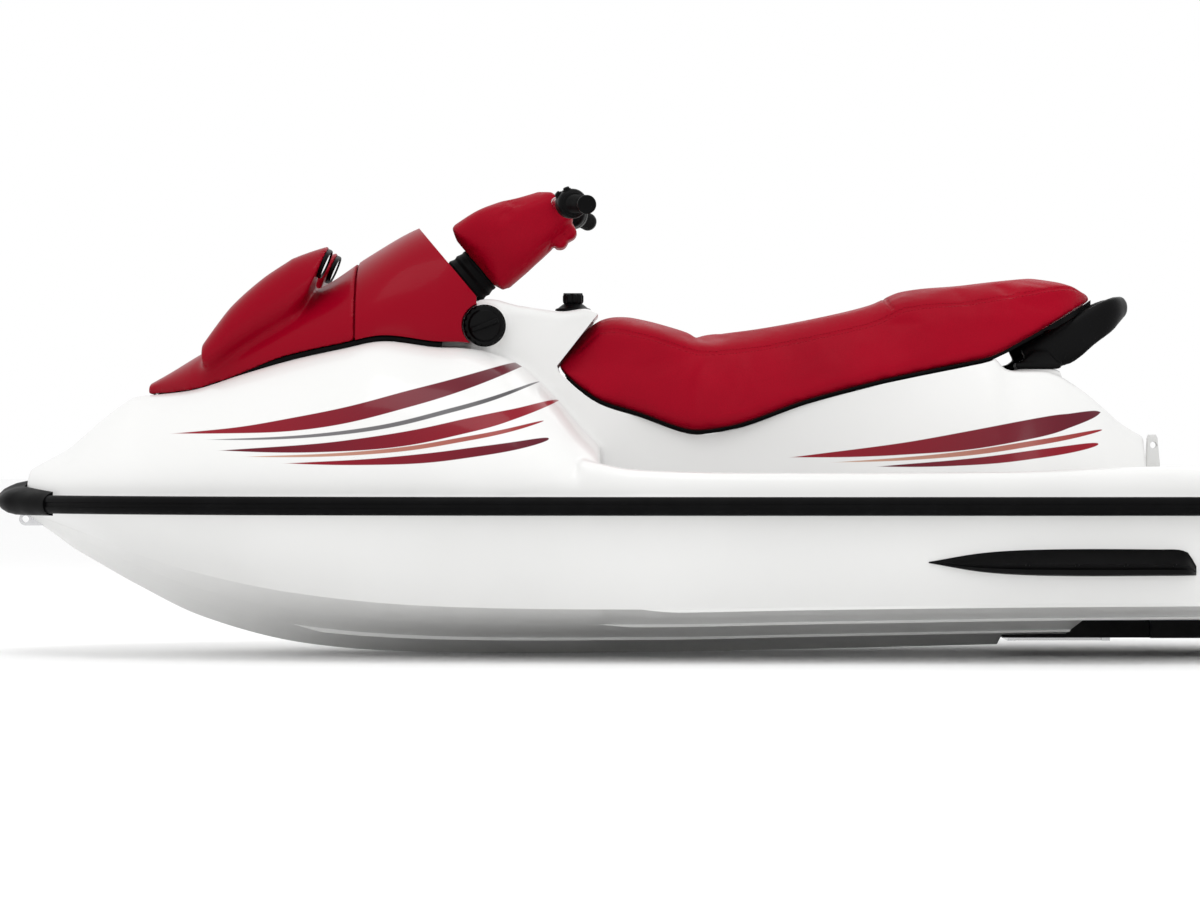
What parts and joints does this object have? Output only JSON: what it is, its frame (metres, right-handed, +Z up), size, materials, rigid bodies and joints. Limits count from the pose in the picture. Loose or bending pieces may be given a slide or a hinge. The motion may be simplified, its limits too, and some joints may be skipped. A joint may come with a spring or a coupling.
{
  "type": "personal watercraft",
  "caption": "Sit-down personal watercraft in white and red with a hinged front hood, mirror pods, saddle seat, raked handlebar and water-jet drive.",
  "frame": {"origin": "on the centreline at mid-length, on the waterline of the empty craft afloat", "axes": "+X forward to the bow, +Y to port, +Z up"},
  "size_m": [2.6812, 1.19, 0.9416],
  "materials": {
    "white_gelcoat": "gloss",
    "red_gelcoat": "gloss",
    "red_vinyl": "satin",
    "black_rubber": "matte",
    "black_plastic": "satin",
    "stainless": "polished",
    "cast_aluminium": "matte",
    "mirror_glass": "polished"
  },
  "bodies": {
    "craft": {"hull_moulding": "white_gelcoat", "deck_moulding": "white_gelcoat", "front_deck": "white_gelcoat", "rub_rail": "black_rubber", "bow_bumper": "black_rubber", "bow_eye": "stainless", "hood_seal": "black_rubber", "storage_bin": "black_plastic", "console": "red_gelcoat", "gauge_panel": "black_plastic", "column_bearing": "black_plastic", "column_boot": "black_rubber", "fuel_cap": "black_plastic", "selector_knob": "black_plastic", "grab_handle": "black_plastic", "tow_post": "white_gelcoat", "footwell_mats": "black_rubber", "platform_mat": "black_rubber", "sponson_port": "black_plastic", "sponson_starboard": "black_plastic", "stern_eyes": "stainless", "drain_plugs": "black_plastic", "engine": "cast_aluminium", "intake_shoe": "black_plastic", "intake_grate": "stainless", "ride_plate": "black_plastic", "pump_housing": "cast_aluminium", "hood_pin": "stainless"},
    "hood": {"hood": "red_gelcoat", "mirror_frames": "black_plastic", "mirror_glass": "mirror_glass", "hood_knuckle": "black_plastic"},
    "seat": {"seat_cushion": "red_vinyl", "seat_base": "black_plastic"},
    "handlebar": {"steering_stem": "stainless", "handlebar": "stainless", "grips": "black_rubber", "bar_pad": "red_vinyl", "switch_housing": "black_plastic", "throttle_lever": "black_plastic"},
    "nozzle": {"nozzle": "black_plastic"},
    "impeller": {"impeller": "stainless"}
  },
  "joints": [
    {"name": "steering", "type": "hinge", "parent": "craft", "child": "handlebar", "pos_m": [0.39664, 0, 0.56981], "axis": [-0.766, 0, 0.6428], "range_deg": [-30, 30]},
    {"name": "nozzle_steer", "type": "hinge", "parent": "craft", "child": "nozzle", "pos_m": [-1.2242, 0, -0.04], "axis": [0, 0, 1], "range_deg": [-21.5, 21.5]},
    {"name": "impeller_spin", "type": "hinge", "parent": "craft", "child": "impeller", "pos_m": [-0.9782, 0, -0.04], "axis": [1, 0, 0], "continuous": true},
    {"name": "hood_hinge", "type": "hinge", "parent": "craft", "child": "hood", "pos_m": [1.01848, 0, 0.34614], "axis": [0, 1, 0], "range_deg": [0, 55]},
    {"name": "seat_lift", "type": "slide", "parent": "craft", "child": "seat", "axis": [-0.766, 0, 0.6428], "range_m": [0, 0.4]}
  ],
  "couplings": [
    {"joint": "nozzle_steer", "follows": "steering", "ratio": -0.7}
  ]
}
